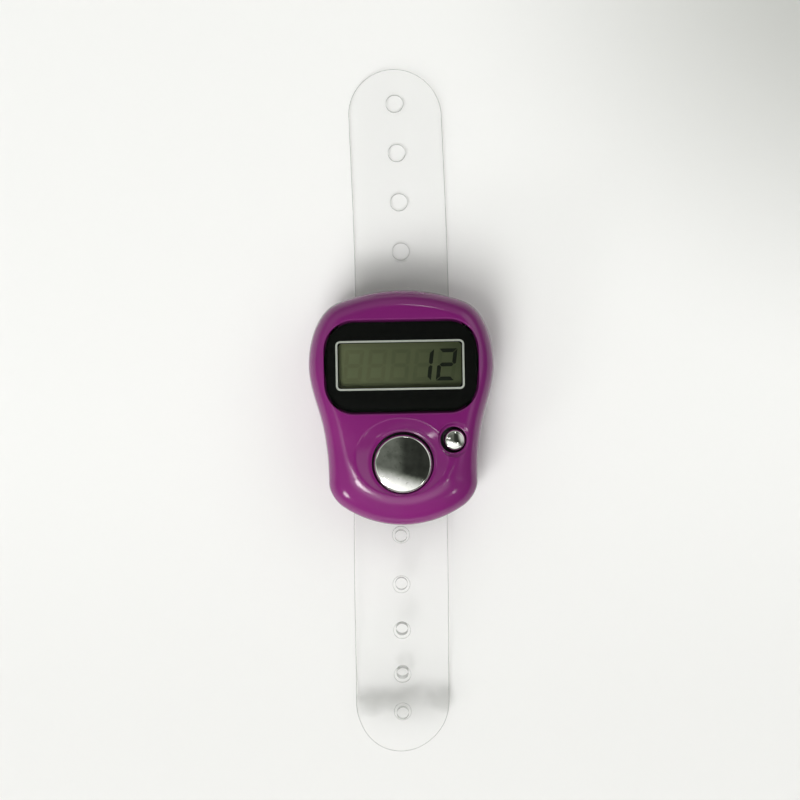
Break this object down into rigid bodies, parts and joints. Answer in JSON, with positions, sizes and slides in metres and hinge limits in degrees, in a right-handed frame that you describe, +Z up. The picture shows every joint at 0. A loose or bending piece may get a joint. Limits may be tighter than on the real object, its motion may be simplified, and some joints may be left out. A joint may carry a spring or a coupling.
{
  "type": "digital finger counter",
  "caption": "Finger-worn digital counter: plastic case with display window, count and reset keys, on a clear snap strap.",
  "frame": {"origin": "on the surface the counter lies on, under the middle of its length and width", "axes": "+X to the counter's right, +Y towards its display end along the strap, +Z up out of the display"},
  "size_m": [0.0292, 0.109, 0.0138],
  "materials": {
    "case": "glossy moulded purple",
    "clear_pane": "polished clear acrylic",
    "black_film": "printed black",
    "polarizer": "satin film",
    "display_glass": "clear",
    "reflector": "matt grey-green",
    "white_plastic": "moulded",
    "striped_rubber": "striped",
    "board": "solder mask",
    "black_epoxy": "poured",
    "chip_parts": "fired ceramic",
    "key_chrome": "bright plated",
    "grey_rubber": "matt",
    "bright_steel": "nickel plated",
    "clear_vinyl": "clear soft vinyl"
  },
  "bodies": {
    "case": {"front_cover": "case", "back_cover": "case", "battery_door": "case", "display_lens": "clear_pane", "lens_film": "black_film", "lcd_polarizer": "polarizer", "lcd_front_glass": "display_glass", "lcd_rear_glass": "display_glass", "lcd_reflector": "reflector", "lcd_holder": "white_plastic", "zebra_strip": "striped_rubber", "circuit_board": "board", "chip_potting": "black_epoxy", "chip_resistor": "chip_parts", "chip_capacitor": "chip_parts", "count_rubber_pad": "grey_rubber", "reset_rubber_pad": "grey_rubber", "battery_cell": "bright_steel", "battery_clip_positive": "bright_steel", "battery_clip_negative": "bright_steel", "battery_door_screw": "bright_steel", "case_screw_1": "bright_steel", "case_screw_2": "bright_steel", "case_screw_3": "bright_steel", "board_screw_1": "bright_steel", "board_screw_2": "bright_steel", "strap_middle": "clear_vinyl"},
    "count_key": {"count_button": "key_chrome"},
    "reset_key": {"reset_button": "key_chrome"},
    "hole_side_root": {"strap_hole_side_1": "clear_vinyl"},
    "hole_side_middle": {"strap_hole_side_2": "clear_vinyl"},
    "hole_side_end": {"strap_hole_side_3": "clear_vinyl"},
    "stud_side_root": {"strap_stud_side_1": "clear_vinyl"},
    "stud_side_middle": {"strap_stud_side_2": "clear_vinyl"},
    "stud_side_far": {"strap_stud_side_3": "clear_vinyl"},
    "stud_side_end": {"strap_stud_side_4": "clear_vinyl"}
  },
  "joints": [
    {"name": "count_press", "type": "slide", "parent": "case", "child": "count_key", "axis": [0, 0, -1], "range_m": [0, 0.0008], "stiffness_N_per_m": 1500, "deforming": ["count_rubber_pad"]},
    {"name": "reset_press", "type": "slide", "parent": "case", "child": "reset_key", "axis": [0, 0, -1], "range_m": [0, 0.0006], "stiffness_N_per_m": 1200, "deforming": ["reset_rubber_pad"]},
    {"name": "hole_side_wrap", "type": "hinge", "parent": "case", "child": "hole_side_root", "pos_m": [0, 0.017, 0.0019], "axis": [-1, 0, 0], "range_deg": [-6, 60], "stiffness_Nm_per_rad": 0.002},
    {"name": "hole_side_curl_middle", "type": "hinge", "parent": "hole_side_root", "child": "hole_side_middle", "pos_m": [0, 0.0202, 0.00135], "axis": [-1, 0, 0], "range_deg": [-6, 55], "stiffness_Nm_per_rad": 0.002},
    {"name": "hole_side_curl_end", "type": "hinge", "parent": "hole_side_middle", "child": "hole_side_end", "pos_m": [0, 0.03703, 0.00056], "axis": [-1, 0, 0], "range_deg": [-7, 67], "stiffness_Nm_per_rad": 0.002},
    {"name": "stud_side_wrap", "type": "hinge", "parent": "case", "child": "stud_side_root", "pos_m": [0, -0.017, 0.0019], "axis": [1, 0, 0], "range_deg": [-6, 60], "stiffness_Nm_per_rad": 0.002},
    {"name": "stud_side_curl_middle", "type": "hinge", "parent": "stud_side_root", "child": "stud_side_middle", "pos_m": [0, -0.0227, 0.00305], "axis": [1, 0, 0], "range_deg": [-6, 58.5], "stiffness_Nm_per_rad": 0.002},
    {"name": "stud_side_curl_far", "type": "hinge", "parent": "stud_side_middle", "child": "stud_side_far", "pos_m": [0, -0.0385, 0.00195], "axis": [1, 0, 0], "range_deg": [-7, 63.5], "stiffness_Nm_per_rad": 0.002},
    {"name": "stud_side_curl_end", "type": "hinge", "parent": "stud_side_far", "child": "stud_side_end", "pos_m": [0, -0.0456, 0.00086], "axis": [1, 0, 0], "range_deg": [-3, 24.5], "stiffness_Nm_per_rad": 0.002}
  ],
  "couplings": [
    {"joint": "hole_side_curl_middle", "follows": "hole_side_wrap", "ratio": 0.9081},
    {"joint": "hole_side_curl_end", "follows": "hole_side_wrap", "ratio": 1.092},
    {"joint": "stud_side_curl_middle", "follows": "stud_side_wrap", "ratio": 0.9662},
    {"joint": "stud_side_curl_far", "follows": "stud_side_wrap", "ratio": 1.0345},
    {"joint": "stud_side_curl_end", "follows": "stud_side_wrap", "ratio": 0.3961}
  ]
}
